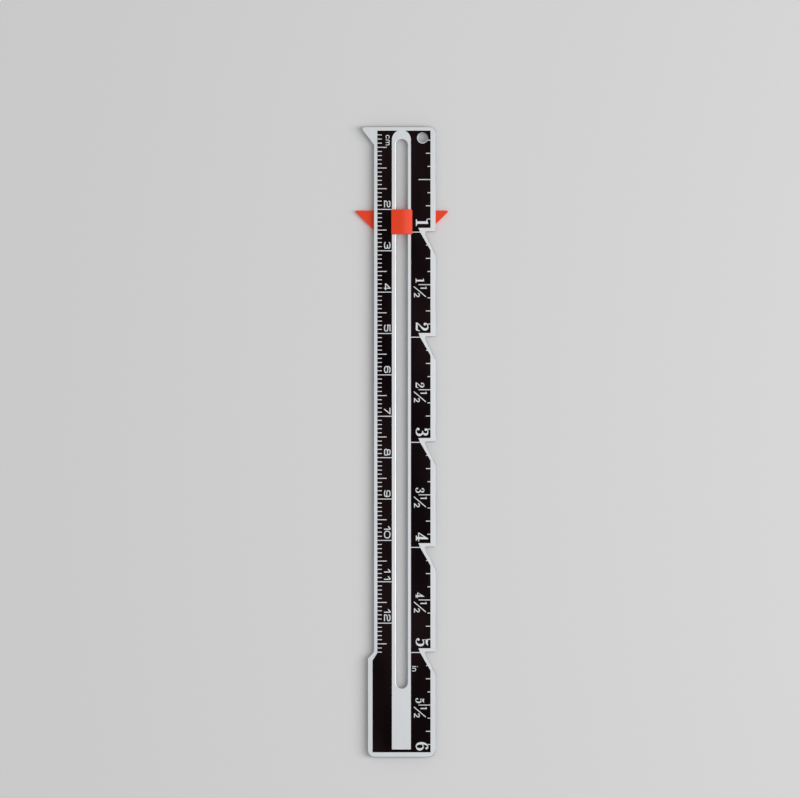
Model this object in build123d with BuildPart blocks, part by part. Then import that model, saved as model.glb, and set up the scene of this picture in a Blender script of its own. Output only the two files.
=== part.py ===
# Sewing gauge: a stamped metal rule with a printed face and a plastic slider that marks a length.
# Units are millimetres. The gauge lies on its back with its printed face up.
# +X runs along the rule away from its zero end, +Y points to the inch side and +Z out of the print.
# The origin is in the middle of the whole gauge, at the height of the slider's back.
import os

from build123d import *

# The two scales, which the length of the rule follows
inch_length = 25.4
inch_count = 6
inch_parts = 8
millimetre_length = 1.0
first_millimetre = 2
centimetre_parts = 10

# The metal blade, measured from the middle of its slot and from its zero end
blade_thickness = 1.0
inch_edge = 8.18
stem_edge = 6.79
foot_step = 1.48
foot_length = 23.9
shoulder_length = 1.6
shoulder_radius = 0.5
beak_reach = 3.41
beak_length = 4.42
beak_tip_radius = 0.6
zero_corner_radius = 1.5
foot_corner_radius = 1.75
edge_roll = 0.12

# The five notches in the inch edge, one at each whole inch
notch_depth = 2.77
notch_length = 5.49
notch_root_radius = 0.4

# The slot that guides the slider, and the hole that the gauge hangs by
slot_width = 2.85
slot_start_margin = 3.03
slot_end_margin = 16.63
hang_hole_radius = 1.12
hang_hole_along = 2.65
hang_hole_across = 5.12

# The printed black layer and the bare metal borders that it leaves
ink_thickness = 0.03
print_shift_along = 0.09
print_shift_across = -0.09
zero_end_border = 0.88
foot_end_border = 1.27
inch_side_border = 1.14
stem_side_border = 0.97
foot_side_border = 1.29
notch_border = 1.02
slot_border = 0.87
hole_border = 0.22
ink_shoulder_lag = 0.21
ink_shoulder_length = 1.85
window_start = 0.73
bar_below_window = 0.69

# The printed layer's cut-back beside each notch
cut_back_depth = 2.92
cut_back_lean = 0.39
cut_back_length = 4.4

# The graduations, which are gaps in the printed layer. The first eighth past a whole inch is
# longer than the others, so that it shows beside the cut-back
line_width = 0.22
millimetre_mark = 1.09
half_centimetre_mark = 2.26
eighth_mark = 0.73
first_eighth_mark = 1.08
quarter_mark = 1.12
half_inch_mark = 2.9
centimetre_scale_shift = -0.09

# The slider: a back plate with two pointers, its tongue, and the cap in front
slider_reading = 20.25
pointer_reach = 11.5
pointer_depth = 5.0
pointer_thickness = 0.9
pointer_tip_radius = 0.25
cap_length = 6.0
cap_overhang = 0.2
cap_width = 5.1
cap_thickness = 1.2
cap_crown = 0.5
cap_corner_radius = 0.35
tongue_setback = 0.95
spigot_ledge = 0.45
spigot_height = 0.6
moulded_edge = 0.08
cap_edge_radius = 0.2

# Clearances
running_gap = 0.08
tongue_gap = 0.1
spigot_gap = 0.02
spigot_headroom = 0.05
selector_margin = 0.01
overrun = 0.2

# Places worked out from the sizes above
blade_length = inch_count * inch_length
zero_end = -blade_length / 2
foot_end = blade_length / 2
foot_edge = stem_edge + foot_step
shoulder_to = foot_end - foot_length
shoulder_from = shoulder_to - shoulder_length
slot_from = zero_end + slot_start_margin
slot_to = foot_end - slot_end_margin
blade_base = pointer_thickness + running_gap
blade_top = blade_base + blade_thickness
cap_base = blade_top + ink_thickness + running_gap
index_line = zero_end + slider_reading
cap_middle = index_line - cap_overhang + cap_length / 2
cap_top = cap_base + cap_thickness
cap_shoulder = cap_top - cap_crown
tongue_length = cap_length - 2 * tongue_setback
tongue_width = slot_width - 2 * tongue_gap

os.makedirs("parts", exist_ok=True)

# Outline of the blank: the inch edge with its notches, the foot, the stem and the beak
blade_outline = [(zero_end, inch_edge)]
for number in range(1, inch_count):
    notch = zero_end + number * inch_length
    blade_outline += [
        (notch, inch_edge),
        (notch, inch_edge - notch_depth),
        (notch + notch_length, inch_edge),
    ]
blade_outline += [
    (foot_end, inch_edge),
    (foot_end, -foot_edge),
    (shoulder_to, -foot_edge),
    (shoulder_from, -stem_edge),
    (zero_end + beak_length, -stem_edge),
    (zero_end, -stem_edge - beak_reach),
]

# The blade is punched from sheet: outline, slot and hole in one blow, which rolls the front edges
with BuildPart() as gauge_blade:
    with BuildSketch(Plane.XY.offset(blade_base)) as blank:
        with BuildLine():
            Polyline(*blade_outline, close=True)
        make_face()
        fillet(blank.vertices().group_by(Axis.X)[-1], radius=foot_corner_radius)
        fillet(blank.vertices().group_by(Axis.X)[0].sort_by(Axis.Y)[-1], radius=zero_corner_radius)
        fillet(blank.vertices().sort_by(Axis.Y)[0], radius=beak_tip_radius)
        shoulder_corners = blank.vertices().filter_by_position(
            Axis.X, shoulder_from - selector_margin, shoulder_to + selector_margin
        )
        fillet(
            shoulder_corners.filter_by_position(Axis.Y, -foot_edge - selector_margin, 0),
            radius=shoulder_radius,
        )
        notch_floor = inch_edge - notch_depth
        fillet(
            blank.vertices().filter_by_position(
                Axis.Y, notch_floor - selector_margin, notch_floor + selector_margin
            ),
            radius=notch_root_radius,
        )
        with Locations(((slot_from + slot_to) / 2, 0)):
            SlotOverall(slot_to - slot_from, slot_width, mode=Mode.SUBTRACT)
        with Locations((zero_end + hang_hole_along, hang_hole_across)):
            Circle(hang_hole_radius, mode=Mode.SUBTRACT)
    extrude(amount=blade_thickness)
    fillet(gauge_blade.edges().group_by(Axis.Z)[-1], radius=edge_roll)

gauge_blade.part.label = "gauge_blade"
export_step(gauge_blade.part, "parts/gauge_blade.step")

# Edges of the printed field, in the print's own register
ink_zero = zero_end + zero_end_border
ink_foot_end = foot_end - foot_end_border
ink_inch = inch_edge - inch_side_border
ink_stem = -(stem_edge - stem_side_border)
ink_foot = -(foot_edge - foot_side_border)
ink_shoulder_from = shoulder_from + ink_shoulder_lag
ink_shoulder_to = ink_shoulder_from + ink_shoulder_length
window_half = slot_width / 2 + slot_border
window_from = zero_end + window_start
window_to = ink_foot_end - bar_below_window

# Outline of the printed field: it steps back beside each notch to leave a bare border there
ink_outline = [(ink_zero, ink_inch)]
for number in range(1, inch_count):
    mark = zero_end + number * inch_length
    ink_outline += [
        (mark - notch_border, ink_inch),
        (mark - notch_border, ink_inch - cut_back_depth),
        (mark, ink_inch - cut_back_depth + cut_back_lean),
        (mark + cut_back_length, ink_inch),
    ]
ink_outline += [
    (ink_foot_end, ink_inch),
    (ink_foot_end, ink_foot),
    (ink_shoulder_to, ink_foot),
    (ink_shoulder_from, ink_stem),
    (ink_zero, ink_stem),
]

# The inch scale's marks: each length, with the eighths of an inch that have it
inch_line_mark = ink_inch - window_half + overrun
eighths = range(1, inch_count * inch_parts)
inch_marks = {
    inch_line_mark: [n for n in eighths if n % inch_parts == 0],
    half_inch_mark: [n for n in eighths if n % inch_parts == inch_parts // 2],
    quarter_mark: [n for n in eighths if n % (inch_parts // 2) == inch_parts // 4],
    first_eighth_mark: [n for n in eighths if n % inch_parts == 1 and n > inch_parts],
    eighth_mark: [n for n in eighths if n % 2 == 1 and (n % inch_parts != 1 or n < inch_parts)],
}

# The centimetre scale's marks, in the same way: only the lines from the second centimetre on
# cross the whole band, and the one at the first centimetre is as short as a half
centimetre_zero = zero_end + centimetre_scale_shift
centimetre_line_mark = -ink_stem - window_half + overrun
millimetres = range(first_millimetre, int((ink_shoulder_from - zero_end) / millimetre_length) + 1)
full_lines = [n for n in millimetres if n % centimetre_parts == 0 and n > centimetre_parts]
half_lines = [n for n in millimetres if n % (centimetre_parts // 2) == 0 and n not in full_lines]
centimetre_marks = {
    centimetre_line_mark: full_lines,
    half_centimetre_mark: half_lines,
    millimetre_mark: [n for n in millimetres if n % (centimetre_parts // 2) != 0],
}

# The printed layer is one black field, broken by the bare window round the slot, by the ring
# round the hanging hole and by the graduations, where the bare metal shows
with BuildPart() as scale_print:
    with BuildSketch(Plane(origin=(print_shift_along, print_shift_across, blade_top))):
        with BuildLine():
            Polyline(*ink_outline, close=True)
        make_face()
        with Locations((window_from + window_half, 0)):
            Circle(window_half, mode=Mode.SUBTRACT)
            Rectangle(
                window_to - window_from - window_half,
                2 * window_half,
                align=(Align.MIN, Align.CENTER),
                mode=Mode.SUBTRACT,
            )
        with Locations((zero_end + hang_hole_along, hang_hole_across)):
            Circle(hang_hole_radius + hole_border, mode=Mode.SUBTRACT)
        for length, numbers in inch_marks.items():
            with Locations(*[(zero_end + n * inch_length / inch_parts, ink_inch - length) for n in numbers]):
                Rectangle(
                    line_width,
                    length + overrun,
                    align=(Align.CENTER, Align.MIN),
                    mode=Mode.SUBTRACT,
                )
        for length, numbers in centimetre_marks.items():
            with Locations(*[(centimetre_zero + n * millimetre_length, ink_stem + length) for n in numbers]):
                Rectangle(
                    line_width,
                    length + overrun,
                    align=(Align.CENTER, Align.MAX),
                    mode=Mode.SUBTRACT,
                )
    extrude(amount=ink_thickness)

scale_print.part.label = "scale_print"
export_step(scale_print.part, "parts/scale_print.step")

# The slider's back moulding: a plate whose straight edge is read against the scales, with a
# pointer at each end, and a tongue that goes through the slot and narrows to a spigot
with BuildPart() as slider_pointer:
    with BuildSketch(Plane.XY):
        with BuildLine():
            Polyline(
                (index_line, pointer_reach),
                (index_line, -pointer_reach),
                (index_line + pointer_depth, -pointer_reach + pointer_depth),
                (index_line + pointer_depth, pointer_reach - pointer_depth),
                close=True,
            )
        pointer_plate = make_face()
        fillet(pointer_plate.vertices().group_by(Axis.X)[0], radius=pointer_tip_radius)
    extrude(amount=pointer_thickness)
    plate_rims = slider_pointer.edges().filter_by(Plane.XY)
    fillet(plate_rims, radius=moulded_edge)
    with BuildSketch(Plane.XY.offset(pointer_thickness)):
        with Locations((cap_middle, 0)):
            SlotOverall(tongue_length, tongue_width)
    extrude(amount=cap_base - pointer_thickness)
    with BuildSketch(Plane.XY.offset(cap_base)):
        with Locations((cap_middle, 0)):
            SlotOverall(tongue_length - 2 * spigot_ledge, tongue_width - 2 * spigot_ledge)
    extrude(amount=spigot_height)

slider_pointer.part.label = "slider_pointer"
export_step(slider_pointer.part, "parts/slider_pointer.step")

# The slider's front moulding: a crowned cap, wider than the slot, with a socket for the spigot.
# It lands on the tongue's ledge, so it can't pinch the blade
with BuildPart() as slider_cap:
    with BuildSketch(Plane.YZ.offset(cap_middle - cap_length / 2)):
        with BuildLine():
            Line((-cap_width / 2, cap_base), (cap_width / 2, cap_base))
            Line((cap_width / 2, cap_base), (cap_width / 2, cap_shoulder))
            ThreePointArc((cap_width / 2, cap_shoulder), (0, cap_top), (-cap_width / 2, cap_shoulder))
            Line((-cap_width / 2, cap_shoulder), (-cap_width / 2, cap_base))
        make_face()
    extrude(amount=cap_length)
    fillet(slider_cap.edges().filter_by(Axis.Z), radius=cap_corner_radius)
    fillet(slider_cap.faces().sort_by(Axis.Z)[-1].edges(), radius=cap_edge_radius)
    with BuildSketch(Plane.XY.offset(cap_base)):
        with Locations((cap_middle, 0)):
            SlotOverall(
                tongue_length - 2 * spigot_ledge + 2 * spigot_gap,
                tongue_width - 2 * spigot_ledge + 2 * spigot_gap,
            )
    extrude(amount=spigot_height + spigot_headroom, mode=Mode.SUBTRACT)

slider_cap.part.label = "slider_cap"
export_step(slider_cap.part, "parts/slider_cap.step")

# How far the slider can travel from where it stands before its tongue meets an end of the slot
travel_back = (slot_from + tongue_gap) - (cap_middle - tongue_length / 2)
travel_on = (slot_to - tongue_gap) - (cap_middle + tongue_length / 2)
print("slider travel, mm:", round(travel_back, 3), round(travel_on, 3))
print("hole centre, mm:", round(zero_end + hang_hole_along, 3), hang_hole_across)
print("blade from", round(blade_base, 3), "to", round(blade_top, 3), "cap top", round(cap_top, 3))
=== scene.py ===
# %% [markdown]
# # Sewing gauge: the looks
# The real object is a six inch rule, punched out of thin aluminium sheet. Its face carries one
# black printed layer, in which both scales are left bare, and an orange-red plastic slider runs
# in its slot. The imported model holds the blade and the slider's two mouldings at their true
# shape, so this lesson keeps them and makes their finishes. The printed layer is made again
# here, because its numerals are too fine for the construction model.

# %% Load the fixed frame
import math

import bmesh
import bpy
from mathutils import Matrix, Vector
from mathutils.geometry import delaunay_2d_cdt


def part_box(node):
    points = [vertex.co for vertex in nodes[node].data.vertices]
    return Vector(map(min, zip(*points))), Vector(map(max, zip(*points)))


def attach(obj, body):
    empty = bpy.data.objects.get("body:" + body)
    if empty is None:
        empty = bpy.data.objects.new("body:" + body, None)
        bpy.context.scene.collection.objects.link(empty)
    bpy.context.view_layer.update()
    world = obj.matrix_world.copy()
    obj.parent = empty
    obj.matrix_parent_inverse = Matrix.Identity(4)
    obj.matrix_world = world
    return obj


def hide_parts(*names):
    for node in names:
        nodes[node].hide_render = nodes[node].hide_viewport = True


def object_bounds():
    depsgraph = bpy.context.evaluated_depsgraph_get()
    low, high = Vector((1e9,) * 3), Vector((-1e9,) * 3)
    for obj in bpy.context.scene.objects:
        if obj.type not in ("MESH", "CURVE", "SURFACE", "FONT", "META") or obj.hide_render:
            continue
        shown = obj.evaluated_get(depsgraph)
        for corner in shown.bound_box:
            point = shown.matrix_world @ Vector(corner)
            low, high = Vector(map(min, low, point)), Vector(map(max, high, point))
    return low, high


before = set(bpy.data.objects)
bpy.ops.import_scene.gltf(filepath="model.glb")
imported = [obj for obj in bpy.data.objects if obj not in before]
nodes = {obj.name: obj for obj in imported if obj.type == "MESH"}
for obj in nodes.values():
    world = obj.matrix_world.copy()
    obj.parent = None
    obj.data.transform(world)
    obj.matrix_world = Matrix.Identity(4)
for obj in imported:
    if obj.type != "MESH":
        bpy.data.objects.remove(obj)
cad_low, cad_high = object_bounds()
blade_low, blade_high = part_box("gauge_blade")
print_low, print_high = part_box("scale_print")
mm = 0.001
print("nodes:", sorted(nodes))
print("blade length, mm:", round((blade_high.x - blade_low.x) / mm, 2))

# %% [markdown]
# ## A few helpers for every node tree
# Finishes and graduations are both made by node trees. Wiring them takes many lines, so one
# helper makes a node, sets its options, and fills each input with a number or with a wire from
# another node. The others open a group with named inputs, and do the two sums that every tree
# needs.

# %% Node helpers
def add_node(tree, kind, inputs=None, **settings):
    """A new node, with its settings made and its inputs set or wired."""
    node = tree.nodes.new(kind)
    for name, value in settings.items():
        setattr(node, name, value)
    for key, value in (inputs or {}).items():
        if isinstance(value, bpy.types.NodeSocket):
            tree.links.new(value, node.inputs[key])
        else:
            node.inputs[key].default_value = value
    return node


def open_group(name, kind, inputs, outputs):
    """A new group with its given inputs and its result; both map names to kinds of socket."""
    tree = bpy.data.node_groups.new(name, kind)
    for label, socket in inputs.items():
        tree.interface.new_socket(label, in_out="INPUT", socket_type="NodeSocket" + socket)
    for label, socket in outputs.items():
        tree.interface.new_socket(label, in_out="OUTPUT", socket_type="NodeSocket" + socket)
    return tree, add_node(tree, "NodeGroupInput").outputs, add_node(tree, "NodeGroupOutput").inputs


def combine(tree, operation, first, second):
    return add_node(tree, "ShaderNodeMath", {0: first, 1: second}, operation=operation).outputs[0]


def upward(tree, vector):
    """A vector's Z: how high up a place is, or how far upward a surface faces."""
    return add_node(tree, "ShaderNodeSeparateXYZ", {0: vector}).outputs["Z"]


# %% [markdown]
# ## Grain, the effect that every finish shares
# Rolled sheet has fine streaks, ink has a soft mottle and moulded plastic has flow marks. All
# three are noise, at other scales and stretched in other ways. So it is one node group with
# named inputs, placed in each material with its own values. Its vector is the object's own
# coordinates in metres, so the marks stay where they are on a piece that slides.

# %% The grain group
def make_grain_group():
    tree, given, result = open_group(
        "grain",
        "ShaderNodeTree",
        {"Vector": "Vector", "Stretch": "Vector", "Scale": "Float", "Detail": "Float"},
        {"Value": "Float"},
    )
    pull = {0: given["Vector"], 1: given["Stretch"]}
    stretched = add_node(tree, "ShaderNodeVectorMath", pull, operation="MULTIPLY").outputs["Vector"]
    inputs = {"Vector": stretched, "Scale": given["Scale"], "Detail": given["Detail"]}
    tree.links.new(add_node(tree, "ShaderNodeTexNoise", inputs).outputs["Fac"], result["Value"])
    return tree


grain_group = make_grain_group()
print("group:", grain_group.name)

# %% [markdown]
# ## Rims, where handling wears an edge and where shade and highlight are painted
# Fingers and cloth reach the rounded edges first: they polish the metal's rolled rim, and they
# rub a moulding's edges a little lighter, which also paints a highlight there. The same mask
# paints shade on the blade's outer rim. A rim faces neither straight up or down nor straight
# to the side, so its mask can come from the normal alone, with no texture painted on.

# %% The rim group
def make_rim_group():
    tree, given, result = open_group(
        "rim",
        "ShaderNodeTree",
        {"Normal": "Vector", "Side Until": "Float", "Flat From": "Float"},
        {"Mask": "Float"},
    )
    upright = combine(tree, "ABSOLUTE", upward(tree, given["Normal"]), 0)
    smooth = {"interpolation_type": "SMOOTHSTEP"}
    side_ramp = {"Value": upright, "From Max": given["Side Until"]}
    flat_ramp = {"Value": upright, "From Min": given["Flat From"], "To Min": 1, "To Max": 0}
    off_side = add_node(tree, "ShaderNodeMapRange", side_ramp, **smooth).outputs["Result"]
    off_flat = add_node(tree, "ShaderNodeMapRange", flat_ramp, **smooth).outputs["Result"]
    tree.links.new(combine(tree, "MULTIPLY", off_side, off_flat), result["Mask"])
    return tree


rim_group = make_rim_group()
print("group:", rim_group.name)

# %% [markdown]
# ## Small steps that the materials share
# A material starts as one Principled shader. What is the same all over the surface is set on
# the shader's own sockets. What changes over the surface comes in by a wire, as a colour, a
# roughness or the height of a bump.

# %% Material helpers
def start_material(name, constants):
    """A material's tree and shader, and the coordinates of the object that wears it."""
    material = bpy.data.materials.new(name)
    material.use_nodes = True
    tree = material.node_tree
    shader = tree.nodes["Principled BSDF"]
    for socket, value in constants.items():
        shader.inputs[socket].default_value = value
    return material, tree, shader, add_node(tree, "ShaderNodeTexCoord").outputs


def grain(tree, place, stretch, scale, detail):
    inputs = {"Vector": place["Object"], "Stretch": stretch, "Scale": scale, "Detail": detail}
    return add_node(tree, "ShaderNodeGroup", inputs, node_tree=grain_group).outputs["Value"]


def rim(tree, place, side_until, flat_from):
    inputs = {"Normal": place["Normal"], "Side Until": side_until, "Flat From": flat_from}
    return add_node(tree, "ShaderNodeGroup", inputs, node_tree=rim_group).outputs["Mask"]


def spread(tree, value, low, high, start=0, end=1):
    """A value between start and end, spread from low to high."""
    inputs = {"Value": value, "From Min": start, "From Max": end, "To Min": low, "To Max": high}
    return add_node(tree, "ShaderNodeMapRange", inputs).outputs["Result"]


# The Mix node keeps its sockets for numbers, vectors and colours in one list; these are a colour's
mix_share, mix_first, mix_second, mix_result = 0, 6, 7, 2


def blend(tree, share, first, second):
    """The first colour where the share is 0, and the second where it is 1."""
    inputs = {mix_share: share, mix_first: (*first, 1), mix_second: (*second, 1)}
    return add_node(tree, "ShaderNodeMix", inputs, data_type="RGBA").outputs[mix_result]


def tint(tree, share, colour, factor):
    """The colour as it is where the share is 0, and times the factor where it is 1."""
    inputs = {mix_share: share, mix_first: colour, mix_second: (factor, factor, factor, 1)}
    settings = {"data_type": "RGBA", "blend_type": "MULTIPLY"}
    return add_node(tree, "ShaderNodeMix", inputs, **settings).outputs[mix_result]


def add_bump(tree, shader, height, depth, strength):
    """A bump on the shader; the depth is the real height of the marks."""
    bump = add_node(tree, "ShaderNodeBump", {"Height": height, "Distance": depth, "Strength": strength})
    tree.links.new(bump.outputs["Normal"], shader.inputs["Normal"])


print("coordinates of a material:", "Object and Normal")

# %% [markdown]
# ## The blade's satin aluminium
# The sheet is bare and bright, with a satin finish that streaks along the way it was rolled.
# Its punched sides show two bands: a smooth one where the punch cut, and below it a coarse one
# where the sheet tore. The height within the sheet says which band a point is in, so the same
# material serves the face, the back and the sides. The rim of the outline is painted darker, as
# painted shade, while the rim of the slot stays bright.

# %% Satin aluminium
streaks_of_rolling = {"stretch": (0.02, 1, 1), "scale": 5000, "detail": 4}
clouds_of_etching = {"stretch": (1, 1, 1), "scale": 45, "detail": 3}
grain_of_tearing = {"stretch": (1, 1, 0.25), "scale": 9000, "detail": 5}
darker_metal = (0.69, 0.715, 0.735)
brighter_metal = (0.82, 0.84, 0.855)
metal_roughness = (0.34, 0.5)
metal_rim = {"side_until": 0.25, "flat_from": 0.97}
side_limit = 0.2
metal_bump = 0.35
polish_on_rim = 0.12
outer_rim_painted_shade = 0.45
outer_from_middle = (2.6 * mm, 3.4 * mm)
outer_from_centre = (74.2 * mm, 75.2 * mm)
roughness_of_tear = 0.2
tear_factor = 0.8
tear_relief = 8
metal_relief = 0.002 * mm
burnished_share = 0.4
band_blur = 0.05 * mm


def outer_rim(tree, place):
    """Where a rim is on the outline of the blade and not on its slot: where the shade is painted."""
    apart = add_node(tree, "ShaderNodeSeparateXYZ", {0: place["Object"]}).outputs
    wide = spread(tree, combine(tree, "ABSOLUTE", apart["Y"], 0), 0, 1, *outer_from_middle)
    long = spread(tree, combine(tree, "ABSOLUTE", apart["X"], 0), 0, 1, *outer_from_centre)
    outside = combine(tree, "MAXIMUM", wide, long)
    return combine(tree, "MULTIPLY", outside, rim(tree, place, **metal_rim))


def make_aluminium():
    material, tree, shader, place = start_material("satin_aluminium", {"Metallic": 1})
    streaks = grain(tree, place, **streaks_of_rolling)
    upright = combine(tree, "ABSOLUTE", upward(tree, place["Normal"]), 0)
    side = spread(tree, upright, 1, 0, 0, side_limit)
    band = blade_high.z - burnished_share * (blade_high.z - blade_low.z)
    below = spread(tree, upward(tree, place["Object"]), 1, 0, band - band_blur, band + band_blur)
    torn = combine(tree, "MULTIPLY", side, below)
    colour = blend(tree, grain(tree, place, **clouds_of_etching), darker_metal, brighter_metal)
    punched = tint(tree, torn, colour, tear_factor)
    # Painted shade: the outline's rim is darkened in the colour itself.
    rim_shaded_colour = tint(tree, outer_rim(tree, place), punched, outer_rim_painted_shade)
    tree.links.new(rim_shaded_colour, shader.inputs["Base Color"])
    polish = combine(tree, "MULTIPLY", rim(tree, place, **metal_rim), polish_on_rim)
    worn = combine(tree, "SUBTRACT", spread(tree, streaks, *metal_roughness), polish)
    rough = combine(tree, "ADD", worn, combine(tree, "MULTIPLY", torn, roughness_of_tear))
    tree.links.new(rough, shader.inputs["Roughness"])
    tearing = combine(tree, "MULTIPLY", grain(tree, place, **grain_of_tearing), torn)
    deep = combine(tree, "MULTIPLY", tearing, tear_relief)
    add_bump(tree, shader, combine(tree, "ADD", streaks, deep), metal_relief, metal_bump)
    return material


aluminium = make_aluminium()
nodes["gauge_blade"].material_slots[0].material = aluminium
print("material:", aluminium.name)

# %% [markdown]
# ## The black printed layer's ink
# The ink is a thin semi-gloss screen print. It isn't one flat black: where it went on thinner
# it turns slightly brown, and its gloss has the soft mottle of a film that dried by itself.
# Its low reflection is the same all over, so that is set on the shader's own socket.

# %% Screen print ink
thin_patches = {"stretch": (0.5, 1, 1), "scale": 70, "detail": 3}
mottle_of_drying = {"stretch": (1, 1, 1), "scale": 1400, "detail": 3}
thick_ink = (0.002, 0.0003, 0.0007)
thin_ink = (0.0115, 0.005, 0.006)
ink_reflection = 0.03
ink_roughness = (0.26, 0.4)
ink_relief = 0.003 * mm
ink_bump = 0.3
thinness_range = (0.35, 0.65)


def make_ink():
    material, tree, shader, place = start_material("black_ink", {"Specular IOR Level": ink_reflection})
    mottle = grain(tree, place, **mottle_of_drying)
    thinness = spread(tree, grain(tree, place, **thin_patches), 0, 1, *thinness_range)
    tree.links.new(blend(tree, thinness, thick_ink, thin_ink), shader.inputs["Base Color"])
    tree.links.new(spread(tree, mottle, *ink_roughness), shader.inputs["Roughness"])
    add_bump(tree, shader, mottle, ink_relief, ink_bump)
    return material


black_ink = make_ink()
print("material:", black_ink.name)

# %% [markdown]
# ## The slider's orange-red plastic
# Both mouldings are one colour of glossy plastic. The pigment flows a little unevenly from the
# gate, the mould's fine texture takes the edge off the gloss, and the rims are rubbed lighter,
# with a painted highlight in the same lighter colour.

# %% Moulded plastic
flow_of_pigment = {"stretch": (1, 0.35, 1), "scale": 260, "detail": 3}
texture_of_mould = {"stretch": (1, 1, 1), "scale": 3200, "detail": 4}
deeper_red = (0.91, 0.062, 0.021)
lighter_red = (0.98, 0.077, 0.027)
plastic_reflection = 0.15
plastic_roughness = (0.22, 0.36)
rubbed_roughness = 0.08
rim_wear_and_highlight_factor = 1.1
plastic_relief = 0.0015 * mm
plastic_bump = 0.3
plastic_rim = {"side_until": 0.3, "flat_from": 0.95}


def make_plastic():
    reflection = {"Specular IOR Level": plastic_reflection}
    material, tree, shader, place = start_material("orange_red_plastic", reflection)
    texture = grain(tree, place, **texture_of_mould)
    rim_wear_and_highlight = rim(tree, place, **plastic_rim)
    colour = blend(tree, grain(tree, place, **flow_of_pigment), deeper_red, lighter_red)
    # The rims are tinted lighter: rubbed wear together with a painted highlight.
    tree.links.new(tint(tree, rim_wear_and_highlight, colour, rim_wear_and_highlight_factor), shader.inputs["Base Color"])
    dulled = combine(tree, "MULTIPLY", rim_wear_and_highlight, rubbed_roughness)
    rough = combine(tree, "ADD", spread(tree, texture, *plastic_roughness), dulled)
    tree.links.new(rough, shader.inputs["Roughness"])
    add_bump(tree, shader, texture, plastic_relief, plastic_bump)
    return material


plastic = make_plastic()
for piece in ("slider_pointer", "slider_cap"):
    nodes[piece].material_slots[0].material = plastic
print("material:", plastic.name)

# %% [markdown]
# ## The graduations, laid by a rule
# A scale is the plainest rule there is: one mark at each step, and a longer one at every fifth,
# tenth, half or whole. Drawing each mark would hide that rule, so a tree of nodes states
# it. The object brings one flat mark of unit size; the tree puts a copy on each step, works out
# its length from its number, and grows it inward from the edge of the printed field. The same
# tree serves both scales, with other values.

# %% The rules of the graduation tree
row_inputs = {
    "Geometry": "Geometry",
    "Material": "Material",
    "First": "Int",
    "Last": "Int",
    "Spacing": "Float",
    "Zero": "Float",
    "Edge": "Float",
    "Inward": "Float",
    "Line Width": "Float",
    "Overrun": "Float",
    "Long Every": "Int",
    "Long After": "Int",
    "Long Mark": "Float",
    "Next Mark": "Float",
    "Middle Every": "Int",
    "Middle Mark": "Float",
    "Short Every": "Int",
    "Short Mark": "Float",
    "Least Mark": "Float",
}


def whole(tree, operation, first, second):
    inputs = {0: first, 1: second}
    return add_node(tree, "FunctionNodeIntegerMath", inputs, operation=operation).outputs[0]


def is_at(tree, number, step, place=0):
    """Whether a mark's number stands at a place within each run of steps."""
    inputs = {"A": whole(tree, "MODULO", number, step), "B": place}
    return add_node(tree, "FunctionNodeCompare", inputs, data_type="INT", operation="EQUAL").outputs[0]


def choose(tree, switch, no, yes):
    inputs = {"Switch": switch, "False": no, "True": yes}
    return add_node(tree, "GeometryNodeSwitch", inputs, input_type="FLOAT").outputs[0]


def mark_length(tree, number, given):
    """The length of a mark, from the least one up to the long one that overrules the rest."""
    tests = {"data_type": "INT", "operation": "GREATER_THAN"}
    past = add_node(tree, "FunctionNodeCompare", {"A": number, "B": given["Long After"]}, **tests).outputs[0]
    both = {0: is_at(tree, number, given["Long Every"]), 1: past}
    is_long = add_node(tree, "FunctionNodeBooleanMath", both, operation="AND").outputs[0]
    beyond = add_node(tree, "FunctionNodeCompare", {"A": number, "B": given["Long Every"]}, **tests)
    follows = {0: is_at(tree, number, given["Long Every"], 1), 1: beyond.outputs[0]}
    is_next = add_node(tree, "FunctionNodeBooleanMath", follows, operation="AND").outputs[0]
    length = choose(tree, is_next, given["Least Mark"], given["Next Mark"])
    length = choose(tree, is_at(tree, number, given["Short Every"]), length, given["Short Mark"])
    length = choose(tree, is_at(tree, number, given["Middle Every"]), length, given["Middle Mark"])
    return choose(tree, is_long, length, given["Long Mark"])


print("inputs of the tree:", len(row_inputs))

# %% [markdown]
# ## Wire the tree
# The number of a mark gives its place along the rule, and its length gives how far its middle
# lies from the edge. Each mark starts slightly outside the printed field, so that it surely
# breaks the field's edge. The last nodes make the copies real and dress them.

# %% The graduation tree
def make_row_tree():
    tree, given, result = open_group(
        "graduation_row", "GeometryNodeTree", row_inputs, {"Geometry": "Geometry"}
    )
    number = whole(tree, "ADD", add_node(tree, "GeometryNodeInputIndex").outputs[0], given["First"])
    count = whole(tree, "ADD", whole(tree, "SUBTRACT", given["Last"], given["First"]), 1)
    length = mark_length(tree, number, given)
    along = combine(tree, "ADD", combine(tree, "MULTIPLY", number, given["Spacing"]), given["Zero"])
    depth = combine(tree, "MULTIPLY", combine(tree, "SUBTRACT", length, given["Overrun"]), 0.5)
    across = combine(tree, "ADD", combine(tree, "MULTIPLY", depth, given["Inward"]), given["Edge"])
    spot = add_node(tree, "ShaderNodeCombineXYZ", {0: along, 1: across}).outputs[0]
    full = combine(tree, "ADD", length, given["Overrun"])
    size = add_node(tree, "ShaderNodeCombineXYZ", {0: given["Line Width"], 1: full, 2: 1}).outputs[0]
    spots = add_node(tree, "GeometryNodePoints", {"Count": count, "Position": spot}).outputs[0]
    copies = {"Points": spots, "Instance": given["Geometry"], "Scale": size}
    marks = add_node(tree, "GeometryNodeInstanceOnPoints", copies).outputs[0]
    real = add_node(tree, "GeometryNodeRealizeInstances", {0: marks}).outputs[0]
    dress = {"Geometry": real, "Material": given["Material"]}
    tree.links.new(add_node(tree, "GeometryNodeSetMaterial", dress).outputs[0], result["Geometry"])
    return tree


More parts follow.
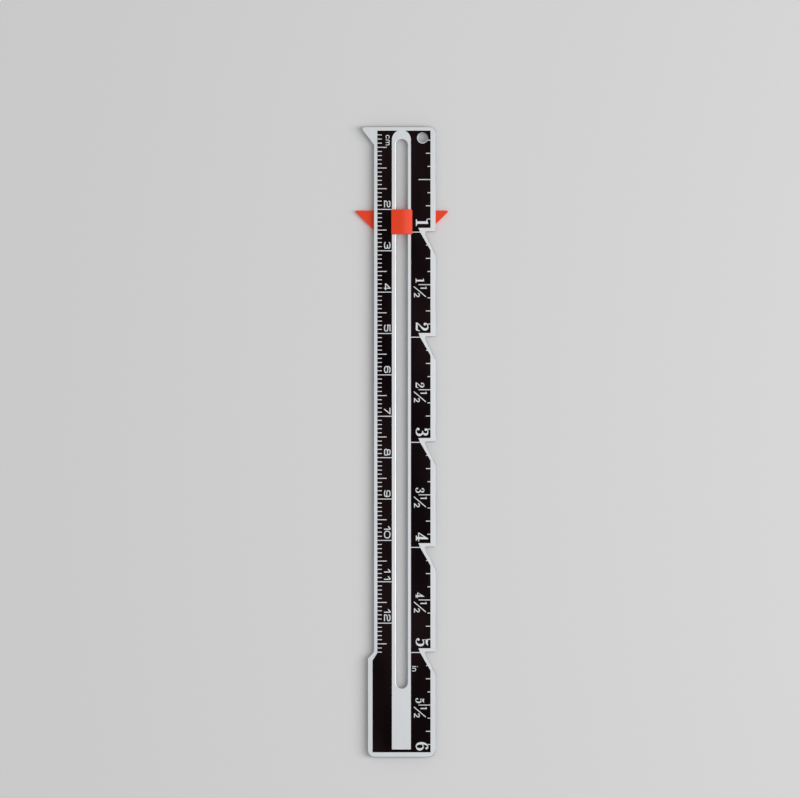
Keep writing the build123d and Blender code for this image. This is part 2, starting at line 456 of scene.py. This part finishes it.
row_tree = make_row_tree()
print("tree:", row_tree.name, "with", len(row_tree.nodes), "nodes")

# %% [markdown]
# ## The print's own sizes
# The layer's outer edges are read from the frame, so the picture can't drift from the model.
# The layer was printed slightly off the punched shape, and everything in it shares that shift,
# but for the centimetre scale, which starts right at the blade's end.

# %% Sizes of the printed layer
inch = 25.4 * mm
inch_count = 6
inch_parts = 8
print_shift = 0.09 * mm
foot_step = 1.16 * mm
foot_field_length = 24.02 * mm
window_start = 0.73 * mm
bar_below_window = 0.69 * mm
inch_zero = blade_low.x + print_shift
centimetre_zero = blade_low.x
slot_line = -print_shift
stem_edge = print_low.y + foot_step
shoulder_from = print_high.x - foot_field_length
shoulder_length = 1.85 * mm
window_half = 2.295 * mm
window_from = inch_zero + window_start
window_to = print_high.x - bar_below_window
notch_border = 1.02 * mm
cut_back_depth = 2.92 * mm
cut_back_lean = 0.39 * mm
cut_back_length = 4.4 * mm
hole_along = 2.65 * mm
hole_across = 5.12 * mm
ring_radius = 1.34 * mm
line_width = 0.205 * mm
overrun = 0.2 * mm
last_millimetre = int((shoulder_from - inch_zero) / mm)
print("last millimetre mark:", last_millimetre)

# %% [markdown]
# ## Two rows of marks from one tree
# Each row is a modifier on a flat unit square. Its inputs are set by the sockets' identifiers,
# before the tree is first worked out. The result becomes a plain mesh, and its faces become
# outlines in the plane of the print.

# %% Lay the two rows
def unit_square(name):
    mesh = bpy.data.meshes.new(name)
    corners = [(-0.5, -0.5, 0), (0.5, -0.5, 0), (0.5, 0.5, 0), (-0.5, 0.5, 0)]
    mesh.from_pydata(corners, [], [(0, 1, 2, 3)])
    return mesh


def lay_marks(name, sizes):
    """The outlines of one row of marks."""
    start = bpy.data.objects.new(name, unit_square(name))
    bpy.context.scene.collection.objects.link(start)
    modifier = start.modifiers.new("graduations", "NODES")
    modifier.node_group = row_tree
    for item in row_tree.interface.items_tree:
        if item.in_out == "INPUT" and item.name in sizes:
            modifier[item.identifier] = sizes[item.name]
    depsgraph = bpy.context.evaluated_depsgraph_get()
    laid = bpy.data.meshes.new_from_object(start.evaluated_get(depsgraph), depsgraph=depsgraph)
    outlines = [[laid.vertices[v].co.xy for v in face.vertices] for face in laid.polygons]
    bpy.data.objects.remove(start)
    bpy.data.meshes.remove(laid)
    print(name, len(outlines), "marks")
    return outlines


shared_sizes = {"Material": black_ink, "Line Width": line_width, "Overrun": overrun}
inch_sizes = {
    "First": 1,
    "Last": inch_count * inch_parts - 1,
    "Spacing": inch / inch_parts,
    "Zero": inch_zero,
    "Edge": print_high.y,
    "Inward": -1.0,
    "Long Every": inch_parts,
    "Long After": 0,
    "Long Mark": print_high.y - slot_line - window_half + overrun,
    "Next Mark": 1.08 * mm,
    "Middle Every": inch_parts // 2,
    "Middle Mark": 2.9 * mm,
    "Short Every": inch_parts // 4,
    "Short Mark": 1.12 * mm,
    "Least Mark": 0.73 * mm,
}
centimetre_sizes = {
    "First": 2,
    "Last": last_millimetre,
    "Spacing": mm,
    "Zero": centimetre_zero,
    "Edge": stem_edge,
    "Inward": 1.0,
    "Long Every": 10,
    "Long After": 10,
    "Long Mark": slot_line - window_half - stem_edge + overrun,
    "Next Mark": 1.09 * mm,
    "Middle Every": 5,
    "Middle Mark": 2.26 * mm,
    "Short Every": 1,
    "Short Mark": 1.09 * mm,
    "Least Mark": 1.09 * mm,
}
inch_marks = lay_marks("inch_marks", {**shared_sizes, **inch_sizes})
centimetre_marks = lay_marks("centimetre_marks", {**shared_sizes, **centimetre_sizes})

# %% [markdown]
# ## Strokes for the numerals
# The inch numerals are upright and bold, with slab feet and round ball ends. The centimetre
# numerals are wide and plain, as a lettering pen of one width draws them. A numeral is a few
# strokes, and each stroke is a line of points with a width, in shares of the numeral's height.
# The strokes may overlap, because the cut that comes later takes them all at once.

# %% Brush, pen, ball and slab
curve_steps = 8
corner_steps = 6
ball_sides = 24
shortest_step = 0.001
bold_press = 0.022


def spline(t, before, start, end, after):
    """A cubic from start to end, whose slope at each end follows the points around it."""
    slope = (end - before) / 2
    next_slope = (after - start) / 2
    curve = 3 * (end - start) - 2 * slope - next_slope
    twist = 2 * (start - end) + slope + next_slope
    return start + t * (slope + t * (curve + t * twist))


def smooth_line(points):
    """More (across, up, width) points, on a smooth curve through the given ones."""
    line = []
    for index in range(len(points) - 1):
        four = [points[min(max(at, 0), len(points) - 1)] for at in range(index - 1, index + 3)]
        for step in range(curve_steps):
            line.append([spline(step / curve_steps, *values) for values in zip(*four)])
    return line + [points[-1]]


def ribbon(line):
    """Four-sided pieces along a line of (across, up, width) points."""
    sides = []
    for index, (across, up, width) in enumerate(line):
        before = line[max(index - 1, 0)]
        after = line[min(index + 1, len(line) - 1)]
        run = Vector((after[0] - before[0], after[1] - before[1])).normalized() * width / 2
        sides.append(((across - run.y, up + run.x), (across + run.y, up - run.x)))
    pairs = zip(sides, sides[1:])
    return [[left, right, next_right, next_left] for (left, right), (next_left, next_right) in pairs]


def brush(*points):
    """A stroke whose width changes."""
    return ribbon(smooth_line(points))


def bold(*points):
    """A brush stroke pressed on harder, so that it is wider all along."""
    return brush(*[(across, up, width + bold_press) for across, up, width in points])


def pen(width, corner, *points):
    """A stroke of one width through the points, with its corners rounded."""
    points = [Vector(point) for point in points]
    last = len(points) - 1
    line = [points[0]]
    for index in range(1, last):
        here = points[index]
        arms = []
        for near, tip in ((index - 1, 0), (index + 1, last)):
            arm = points[near] - here
            room = 1 if near == tip else 0.5
            arms.append(here + arm * min(corner / arm.length, room))
        for step in range(corner_steps + 1):
            t = step / corner_steps
            line.append((1 - t) ** 2 * arms[0] + 2 * t * (1 - t) * here + t**2 * arms[1])
    line.append(points[-1])
    apart = [now for was, now in zip(line, line[1:]) if (now - was).length > shortest_step]
    return ribbon([(point.x, point.y, width) for point in [line[0], *apart]])


def ball(across, up, radius, sides=ball_sides):
    turns = [2 * math.pi * side / sides for side in range(sides)]
    return [[(across + radius * math.cos(turn), up + radius * math.sin(turn)) for turn in turns]]


def slab(*corners):
    return [list(corners)]


print("pieces of a three-point brush stroke:", 2 * curve_steps)

# %% [markdown]
# ## The inch numerals
# Their weight sits in the upright parts and thins out at the top and foot of each bowl, which
# a brush of changing width gives. The values are shares of the numeral's height.

# %% Bold numerals with slab feet
bold_numerals = {
    "1": slab((0.23, 0), (0.43, 0), (0.43, 1), (0.36, 1), (0.23, 0.94))
    + slab((0.05, 0.94), (0.06, 0.87), (0.23, 0.84), (0.23, 0.95))
    + slab((0.06, 0), (0.6, 0), (0.6, 0.065), (0.43, 0.12), (0.23, 0.12), (0.06, 0.065)),
    "2": bold(
        (0.075, 0.7, 0.04), (0.12, 0.87, 0.05), (0.32, 0.97, 0.065), (0.5, 0.93, 0.11),
        (0.57, 0.76, 0.17), (0.52, 0.6, 0.15), (0.36, 0.42, 0.09), (0.18, 0.25, 0.06), (0.06, 0.1, 0.06),
    )
    + ball(0.16, 0.72, 0.1)
    + bold(
        (0.03, 0.05, 0.09), (0.2, 0.075, 0.13), (0.42, 0.07, 0.14), (0.58, 0.075, 0.13),
        (0.65, 0.19, 0.06), (0.67, 0.32, 0.04),
    ),
    "3": bold(
        (0.075, 0.8, 0.04), (0.16, 0.93, 0.05), (0.34, 0.97, 0.06), (0.49, 0.92, 0.11),
        (0.54, 0.775, 0.155), (0.48, 0.635, 0.11), (0.38, 0.56, 0.065), (0.25, 0.545, 0.055),
    )
    + bold(
        (0.25, 0.545, 0.055), (0.4, 0.535, 0.07), (0.53, 0.45, 0.11), (0.58, 0.28, 0.17),
        (0.51, 0.11, 0.13), (0.36, 0.035, 0.065), (0.19, 0.04, 0.05), (0.06, 0.12, 0.04), (0.035, 0.2, 0.04),
    )
    + ball(0.16, 0.8, 0.095)
    + ball(0.12, 0.205, 0.095),
    "4": slab((0.335, 0), (0.52, 0), (0.52, 1), (0.47, 1), (0.335, 0.76))
    + ribbon([(0.48, 0.98, 0.07), (0.04, 0.25, 0.09)])
    + slab((0, 0.18), (0.68, 0.18), (0.68, 0.265), (0, 0.265))
    + slab((0.22, 0), (0.64, 0), (0.64, 0.06), (0.52, 0.105), (0.335, 0.105), (0.22, 0.06)),
    "5": slab((0.12, 1), (0.36, 0.95), (0.585, 1), (0.575, 0.93), (0.47, 0.82), (0.3, 0.775), (0.12, 0.82))
    + slab((0.115, 0.5), (0.16, 0.5), (0.16, 1), (0.115, 1))
    + bold(
        (0.14, 0.53, 0.04), (0.24, 0.61, 0.06), (0.38, 0.635, 0.075), (0.52, 0.54, 0.14),
        (0.565, 0.35, 0.17), (0.5, 0.14, 0.13), (0.35, 0.035, 0.065), (0.18, 0.04, 0.05),
        (0.06, 0.12, 0.04), (0.035, 0.2, 0.04),
    )
    + ball(0.12, 0.21, 0.095),
    "6": bold(
        (0.56, 0.88, 0.04), (0.48, 0.96, 0.05), (0.35, 0.96, 0.065), (0.21, 0.85, 0.095),
        (0.125, 0.67, 0.145), (0.105, 0.42, 0.17), (0.15, 0.18, 0.145), (0.27, 0.045, 0.075),
        (0.4, 0.035, 0.06), (0.53, 0.13, 0.12), (0.58, 0.31, 0.17), (0.53, 0.5, 0.13),
        (0.41, 0.595, 0.065), (0.3, 0.58, 0.05), (0.21, 0.5, 0.04),
    )
    + ball(0.5, 0.86, 0.09),
}
print("bold numerals:", "".join(bold_numerals))

# %% [markdown]
# ## The centimetre numerals
# They are drawn on a nearly square box by a pen of one width, in shares of their height. The
# small figures of the half inches are made the same way.

# %% Wide plain numerals and small figures
nib = 0.155
bend = 0.34
low = nib / 2
high = 1 - low
far = 1.06 - low
zero_far = 1.2 - low
wide_numerals = {
    "0": pen(nib, 0.46, (low, 0.5), (low, high), (zero_far, high), (zero_far, low), (low, low), (low, 0.5)),
    "1": pen(nib, bend, (0.03, 0.64), (0.44, 0.97)) + slab((0.4, 0), (0.56, 0), (0.56, 1), (0.4, 1)),
    "2": pen(nib, bend, (low, 0.68), (low, high), (far, high), (far, 0.5), (low, 0.5), (low, 0))
    + slab((0, 0), (far + low, 0), (far + low, nib), (0, nib)),
    "3": pen(nib, bend, (low, 0.74), (low, high), (far, high), (far, 0.53), (0.42, 0.53))
    + pen(nib, bend, (0.42, 0.53), (far, 0.53), (far, low), (low, low), (low, 0.26)),
    "4": slab((0.68, 0), (0.84, 0), (0.84, 1), (0.68, 1))
    + pen(nib, bend, (0.74, 0.94), (0.06, 0.28))
    + slab((0, 0.16), (far + low, 0.16), (far + low, 0.31), (0, 0.31)),
    "5": slab((0, high - low), (1, high - low), (1, 1), (0, 1))
    + slab((0, 0.5), (nib, 0.5), (nib, 0.9), (0, 0.9))
    + pen(nib, bend, (low, 0.585), (far, 0.585), (far, low), (low, low), (low, 0.26)),
    "6": pen(
        nib, bend, (far, 0.76), (far, high), (low, high), (low, low), (far, low), (far, 0.57), (low, 0.57)
    ),
    "7": slab((0, high - low), (1.02, high - low), (1.02, 1), (0, 1))
    + pen(nib, bend, (0.95, 0.93), (0.18, 0)),
    "8": pen(nib, 0.3, (low, 0.3), (low, 0.53), (far, 0.53), (far, low), (low, low), (low, 0.3))
    + pen(nib, 0.3, (0.15, 0.72), (0.15, high), (0.91, high), (0.91, 0.53), (0.15, 0.53), (0.15, 0.72)),
    "9": pen(
        nib, bend, (low, 0.24), (low, low), (far, low), (far, high), (low, high), (low, 0.43), (far, 0.43)
    ),
}
small_figures = {
    "1": slab((0.16, 0), (0.34, 0), (0.34, 1), (0.22, 1), (0.16, 0.9))
    + slab((0, 0.8), (0.17, 0.83), (0.22, 1), (0, 0.87)),
    "2": brush(
        (0.1, 0.68, 0.17), (0.16, 0.85, 0.17), (0.38, 0.92, 0.18), (0.6, 0.84, 0.18),
        (0.62, 0.64, 0.18), (0.42, 0.38, 0.18), (0.12, 0.1, 0.18),
    )
    + slab((0.02, 0), (0.76, 0), (0.76, 0.15), (0.02, 0.15)),
}
print("wide numerals:", "".join(wide_numerals))

# %% [markdown]
# ## The signs of the units
# Plain signs for centimetre and inch say which scale is which. A letter is as high as its own
# unit of one, and only the dot reaches above it.

# %% Unit letters
letter_nib = 0.2
letter_low = letter_nib / 2
letter_high = 1 - letter_low
letter_bend = 0.3
round_bend = 0.4
round_far = 0.86
round_open = (0.3, 0.7)
first_leg = 0.74
last_leg = 1.36
second_arch_from = 0.5
single_leg = 0.8
dot_from = 1.2
dot_to = 1.44


def arch(start, foot, leg):
    """A letter's arch, from its left foot over to its right leg."""
    corners = (start, foot), (start, letter_high), (leg, letter_high), (leg, 0)
    return pen(letter_nib, letter_bend, *corners)


unit_letters = {
    "c": pen(
        letter_nib, round_bend, (round_far, round_open[1]), (round_far, letter_high),
        (letter_low, letter_high), (letter_low, letter_low), (round_far, letter_low),
        (round_far, round_open[0]),
    ),
    "m": arch(letter_low, 0, first_leg) + arch(first_leg, second_arch_from, last_leg),
    "i": slab((0, 0), (letter_nib, 0), (letter_nib, 1), (0, 1))
    + slab((0, dot_from), (letter_nib, dot_from), (letter_nib, dot_to), (0, dot_to)),
    "n": arch(letter_low, 0, single_leg),
}
print("letters:", "".join(unit_letters))

# %% [markdown]
# ## Where each numeral stands
# All of them read across the rule's length, with their feet toward the centimetre side. An inch
# numeral ends just before its line, a half has its whole number before the mark and its
# fraction after it, and a centimetre numeral ends just before its line too.

# %% Sizes and places of the numerals
inch_numeral_height = 2.98 * mm
inch_numeral_spread = 1.03
inch_numeral_foot = slot_line + 3.5 * mm
inch_numeral_gap = 1.47 * mm
last_numeral_gap = 1.7 * mm
half_numeral_height = 2.07 * mm
half_numeral_spread = 0.93
half_numeral_foot = slot_line + 3.44 * mm
half_numeral_gap = 0.45 * mm
numerator_height = 1.55 * mm
numerator_gap = 0.46 * mm
numerator_foot = slot_line + 4.61 * mm
denominator_height = 1.42 * mm
denominator_gap = 2.0 * mm
denominator_foot = slot_line + 3.04 * mm
slash_width = 0.225 * mm
slash_ends = ((0.46 * mm, 3.02 * mm), (2.92 * mm, 5.9 * mm))
centimetre_numeral_height = 1.57 * mm
centimetre_numeral_foot = slot_line - 4.2 * mm
centimetre_numeral_gap = 0.47 * mm
pair_space = {"10": 0.22 * mm, "11": 0.85 * mm, "12": 0.38 * mm}
unit_height = 0.95 * mm
unit_space = 0.22 * mm
centimetre_sign_start = 2.0 * mm
centimetre_sign_lift = 0.4 * mm
inch_sign_start = 130.3 * mm
inch_sign_foot = 2.6 * mm
gaps = []


def put(shapes, height, foot, left=None, right=None, spread=1):
    """Adds a numeral to the gaps in the print, from its left edge or to its right one."""
    across = [corner[0] for shape in shapes for corner in shape]
    width = height * spread
    start = left - min(across) * width if right is None else right - max(across) * width
    gaps.extend([[(start + u * width, foot + v * height) for u, v in shape] for shape in shapes])
    return start + min(across) * width, start + max(across) * width


# %% [markdown]
# ## The inch numerals in their places
# Each whole inch has its numeral before the line, cut into the field's step. The sixth stands
# further back, because the rule ends at its line.

# %% Place the inch numerals
def put_half(line, number):
    """The whole number before a half inch mark, and the fraction after it."""
    end = line - half_numeral_gap
    put(bold_numerals[number], half_numeral_height, half_numeral_foot, right=end, spread=half_numeral_spread)
    put(small_figures["1"], numerator_height, numerator_foot, left=line + numerator_gap)
    put(small_figures["2"], denominator_height, denominator_foot, left=line + denominator_gap)
    gaps.extend(ribbon([(line + along, slot_line + across, slash_width) for along, across in slash_ends]))


for number in range(1, inch_count + 1):
    line = inch_zero + number * inch
    end = line - (inch_numeral_gap if number < inch_count else last_numeral_gap)
    numeral = bold_numerals[str(number)]
    put(numeral, inch_numeral_height, inch_numeral_foot, right=end, spread=inch_numeral_spread)
    if number < inch_count:
        put_half(line + inch / 2, str(number))
print("strokes of the inch scale:", len(gaps))

# %% [markdown]
# ## The centimetre numerals in theirs
# A numeral of two figures is laid from its right figure to its left one, because it ends at
# its line. The signs of the units follow, one on each band.

# %% Place the centimetre numerals and the units
for number in range(2, last_millimetre // 10 + 1):
    end = centimetre_zero + number * 10 * mm - centimetre_numeral_gap
    for figure in reversed(str(number)):
        start, _ = put(wide_numerals[figure], centimetre_numeral_height, centimetre_numeral_foot, right=end)
        end = start - pair_space.get(str(number), 0)
for letters, foot, start in (
    ("cm", centimetre_numeral_foot + centimetre_sign_lift, centimetre_zero + centimetre_sign_start),
    ("in", slot_line + inch_sign_foot, inch_zero + inch_sign_start),
):
    for letter in letters:
        _, end = put(unit_letters[letter], unit_height, foot, left=start)
        start = end + unit_space
print("strokes of all numerals:", len(gaps))

# %% [markdown]
# ## The printed field
# The field follows the blade's outline, steps back beside each notch and leaves a bare window
# round the slot and a ring round the hanging hole. The outline is a loop of corners, made by
# the same rule as the notches: one step at each whole inch.

# %% Outline, window and ring
round_sides = 72


def field_outline():
    corners = [(print_low.x, print_high.y)]
    for number in range(1, inch_count):
        line = inch_zero + number * inch
        corners += [
            (line - notch_border, print_high.y),
            (line - notch_border, print_high.y - cut_back_depth),
            (line, print_high.y - cut_back_depth + cut_back_lean),
            (line + cut_back_length, print_high.y),
        ]
    return corners + [
        (print_high.x, print_high.y),
        (print_high.x, print_low.y),
        (shoulder_from + shoulder_length, print_low.y),
        (shoulder_from, stem_edge),
        (print_low.x, stem_edge),
    ]


def window_shapes():
    """The window's round head, and its straight length."""
    middle = window_from + window_half
    return ball(middle, slot_line, window_half, round_sides) + slab(
        (middle, slot_line - window_half),
        (window_to, slot_line - window_half),
        (window_to, slot_line + window_half),
        (middle, slot_line + window_half),
    )


ring = ball(inch_zero + hole_along, slot_line + hole_across, ring_radius, round_sides)
bare_shapes = inch_marks + centimetre_marks + gaps + window_shapes() + ring
print("shapes to leave bare:", len(bare_shapes))

# %% [markdown]
# ## Cut the field like a stencil
# A constrained triangulation takes outlines that overlap, and it says for each triangle which
# outlines hold it. A triangle is ink if it lies in the field and in nothing else. That gives a
# clean flat sheet in one step, where hundreds of boolean cuts would be slow.

# %% Cut the stencil
touching = 0.00001 * mm
triangles_inside = 1


def facing_up(shape):
    """The shape with its corners running anticlockwise."""
    area = sum(a[0] * b[1] - b[0] * a[1] for a, b in zip(shape, [*shape[1:], shape[0]]))
    return shape if area > 0 else shape[::-1]


def cut_stencil(field, holes):
    points, loops = [], []
    for shape in [field, *holes]:
        loops.append(list(range(len(points), len(points) + len(shape))))
        points += [Vector(corner) for corner in facing_up(shape)]
    corners, _, faces, _, _, sources = delaunay_2d_cdt(points, [], loops, triangles_inside, touching)
    return corners, [face for face, source in zip(faces, sources) if source == [0]]


corners, ink_faces = cut_stencil(field_outline(), bare_shapes)
print("ink triangles:", len(ink_faces))

# %% [markdown]
# ## Give the ink its thickness
# The flat sheet becomes a closed film, from the blade's face to the height that the frame gives.
# An edge that only one triangle has is a rim, and there the film gets a wall. It replaces the
# construction model's plain layer, and rides on the blade.

# %% The printed layer
def film_faces(count, place):
    """The film's back, front and walls; a corner's front twin comes a whole count later."""
    back, front, edges = [], [], []
    for face in ink_faces:
        ring = [place[index] for index in face]
        front.append([at + count for at in ring])
        back.append(ring[::-1])
        edges += zip(ring, [*ring[1:], ring[0]])
    inner = set(edges)
    rim_edges = [(a, b) for a, b in edges if (b, a) not in inner]
    return back + front + [(a, b, b + count, a + count) for a, b in rim_edges]


def make_film():
    used = sorted({index for face in ink_faces for index in face})
    place = {index: at for at, index in enumerate(used)}
    points = [(*corners[index], height) for height in (print_low.z, print_high.z) for index in used]
    mesh = bpy.data.meshes.new("printed_scales")
    mesh.from_pydata(points, [], film_faces(len(used), place))
    film = bmesh.new()
    film.from_mesh(mesh)
    open_edges = sum(len(edge.link_faces) != 2 for edge in film.edges)
    print("film faces:", len(film.faces), "open edges:", open_edges)
    print("film volume, cubic mm:", round(film.calc_volume(signed=True) / mm**3, 2))
    film.free()
    mesh.materials.append(black_ink)
    piece = bpy.data.objects.new("printed_scales", mesh)
    bpy.context.scene.collection.objects.link(piece)
    return piece


printed_scales = make_film()
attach(printed_scales, "blade")
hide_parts("scale_print")

# %% [markdown]
# ## A plain floor
# The gauge lies on a pale matt floor, wide enough to fill every view. Its slight tone keeps the
# bare metal's edges readable. It lies a hair below the slider's back, so that the two surfaces
# never share one plane.

# %% The floor
floor_half = 1.5
floor_height = -0.05 * mm
floor_look = {"Base Color": (0.8, 0.8, 0.805, 1), "Roughness": 0.7}
floor_mesh = bpy.data.meshes.new("floor")
floor_sides = [(-floor_half, -floor_half), (floor_half, -floor_half)]
floor_sides += [(floor_half, floor_half), (-floor_half, floor_half)]
floor_corners = [(*side, floor_height) for side in floor_sides]
floor_mesh.from_pydata(floor_corners, [], [(0, 1, 2, 3)])
floor_mesh.materials.append(start_material("pale_floor", floor_look)[0])
floor = bpy.data.objects.new("floor", floor_mesh)
bpy.context.scene.collection.objects.link(floor)
print("floor width, m:", 2 * floor_half)

# %% [markdown]
# ## Soft light from both sides
# Two soft lights stand over the two edges of the rule. The one on the inch side is the
# stronger, so the crown of the cap is brighter on that half. Neither stands where the ink would
# mirror it into the camera, which keeps the print deep black beside the bright satin metal.

# %% The lights
light_distance = 0.9
light_size = (0.3, 0.9)
inch_side_light = {"azimuth": 90, "elevation": 52, "power": 4.15}
centimetre_side_light = {"azimuth": 270, "elevation": 48, "power": 0.2}
sky_strength = 0.42


def add_light(name, aim, azimuth, elevation, power):
    """A soft area light that faces its aim, from an azimuth and elevation in degrees."""
    light = bpy.data.lights.new(name, "AREA")
    light.shape = "RECTANGLE"
    light.size, light.size_y = light_size
    light.energy = power
    lamp = bpy.data.objects.new(name, light)
    bpy.context.scene.collection.objects.link(lamp)
    turn, rise = math.radians(azimuth), math.radians(elevation)
    back = Vector((math.cos(turn) * math.cos(rise), math.sin(turn) * math.cos(rise), math.sin(rise)))
    lamp.location = Vector(aim) + back * light_distance
    lamp.rotation_euler = (math.pi / 2 - rise, 0, turn + math.pi / 2)


middle = (cad_low + cad_high) / 2
add_light("inch_side_softbox", middle, **inch_side_light)
add_light("centimetre_side_softbox", middle, **centimetre_side_light)
world = bpy.data.worlds.new("studio")
world.use_nodes = True
sky = world.node_tree.nodes["Background"].inputs
sky["Color"].default_value = (1, 1, 1, 1)
sky["Strength"].default_value = sky_strength
bpy.context.scene.world = world
bpy.context.scene.view_settings.view_transform = "Standard"
print("lights:", [item.name for item in bpy.data.lights])

# %% [markdown]
# ## The camera
# The photograph looks straight down on the gauge, with the rule's length running down the
# picture. The picture's width in metres follows from the blade's length on it, and a long lens
# keeps both ends equally large.

# %% Set the camera
picture_width_px = 800
blade_length_px = 630.6
picture_middle = (-10.37 * mm, -0.43 * mm)
lens_mm = 200
sensor_mm = 36
pixel = (blade_high.x - blade_low.x) / blade_length_px
camera_data = bpy.data.cameras.new("camera")
camera_data.lens = lens_mm
camera_data.sensor_width = sensor_mm
camera = bpy.data.objects.new("camera", camera_data)
bpy.context.scene.collection.objects.link(camera)
camera.location = (*picture_middle, print_high.z + picture_width_px * pixel * lens_mm / sensor_mm)
camera.rotation_euler = (0, 0, math.pi / 2)
bpy.context.scene.camera = camera
print("camera height, m:", round(camera.location.z, 4))
